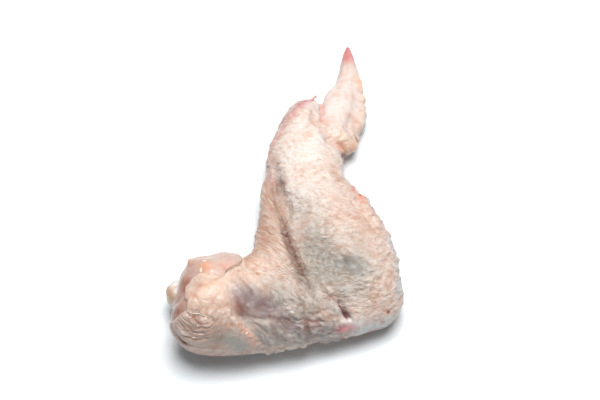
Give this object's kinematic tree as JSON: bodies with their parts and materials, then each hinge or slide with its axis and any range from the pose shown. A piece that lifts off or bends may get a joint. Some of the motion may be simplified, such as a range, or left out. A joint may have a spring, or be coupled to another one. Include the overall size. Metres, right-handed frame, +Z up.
{
  "type": "raw chicken wing",
  "caption": "Whole raw chicken wing folded into a V, lying flat, with drumette, forearm and wing tip, and with shoulder meat and the end of the arm bone showing at the cut.",
  "frame": {"origin": "middle of the footprint, on the surface the wing lies on", "axes": "+X along the drumette from its cut shoulder end to the elbow, +Y from the drumette along the forearm to the wing tip, +Z up out of the outer side of the wing"},
  "size_m": [0.091, 0.1466, 0.0352],
  "materials": {
    "skin": "moist raw skin, pale pink to peach, soft sheen",
    "meat": "wet raw muscle under a thin clear membrane",
    "bone": "pearly wet cartilage"
  },
  "bodies": {
    "root": {"skin": "skin", "meat": "meat", "bone": "bone"}
  },
  "joints": []
}
